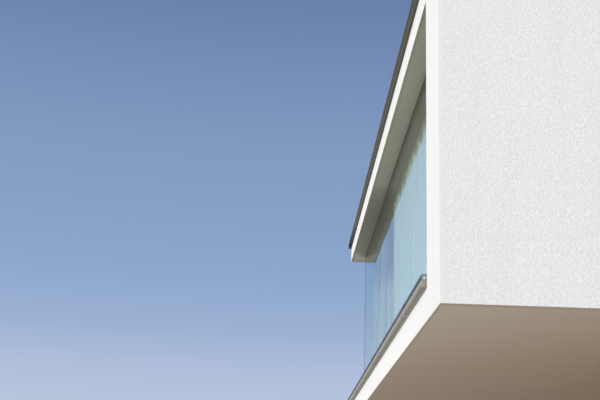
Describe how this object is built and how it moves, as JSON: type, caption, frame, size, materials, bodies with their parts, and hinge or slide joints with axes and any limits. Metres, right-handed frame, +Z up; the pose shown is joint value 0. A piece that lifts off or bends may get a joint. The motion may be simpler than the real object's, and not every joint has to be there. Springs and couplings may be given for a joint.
{
  "type": "detached house",
  "caption": "Two-storey flat-roofed house whose upper storey stands out over the ground storey, with a frameless glass front between white floor band and roof fascia.",
  "frame": {"origin": "bottom centre of the house, on the ground", "axes": "+X towards the blank side wall, -Y towards the glazed front, +Z up"},
  "size_m": [10.504, 10.104, 6.4171],
  "materials": {
    "smooth_render": "smooth white mineral render",
    "rough_render": "coarse off-white mineral render",
    "concrete": "plain concrete",
    "floor_oak": "finished floor on concrete",
    "beige_paint": "matte beige-brown painted render board",
    "grey_green_paint": "matte painted board",
    "glass": "clear insulating glass",
    "dark_aluminium": "satin dark powder coat",
    "sill_metal": "satin grey-brown coated sheet",
    "cap_metal": "satin dark grey-brown coated sheet",
    "roof_membrane": "matte roof membrane",
    "curtain_cloth": "light woven cloth",
    "white_aluminium": "white powder coat",
    "door_paint": "satin dark grey paint",
    "pull_steel": "brushed"
  },
  "bodies": {
    "root": {"ground_slab": "concrete", "lower_front_wall": "beige_paint", "lower_back_wall": "rough_render", "lower_left_wall": "rough_render", "lower_right_wall": "rough_render", "upper_floor": "floor_oak", "upper_right_wall": "rough_render", "corner_pier": "smooth_render", "upper_left_wall": "rough_render", "upper_back_wall": "rough_render", "roof_slab": "concrete", "corner_strip": "smooth_render", "floor_band": "smooth_render", "roof_fascia": "smooth_render", "cantilever_soffit": "beige_paint", "roof_soffit": "grey_green_paint", "near_glass": "glass", "far_glass": "glass", "corner_glass": "glass", "head_channel": "dark_aluminium", "base_channel": "dark_aluminium", "sill_near": "sill_metal", "sill_middle": "sill_metal", "sill_far": "sill_metal", "sill_side": "sill_metal", "roof_covering": "roof_membrane", "cap_front": "cap_metal", "cap_right": "cap_metal", "cap_back": "cap_metal", "cap_left": "cap_metal", "near_curtain": "curtain_cloth", "far_curtain": "curtain_cloth", "curtain_track": "white_aluminium", "upper_window_frame": "dark_aluminium", "upper_window_pane": "glass", "upper_window_sill": "sill_metal", "lower_window_frame": "dark_aluminium", "lower_window_pane": "glass", "lower_window_sill": "sill_metal", "front_window_frame": "dark_aluminium", "front_window_pane": "glass", "front_window_sill": "sill_metal", "door_frame": "dark_aluminium", "door_leaf": "door_paint", "door_pull": "pull_steel"}
  },
  "joints": []
}
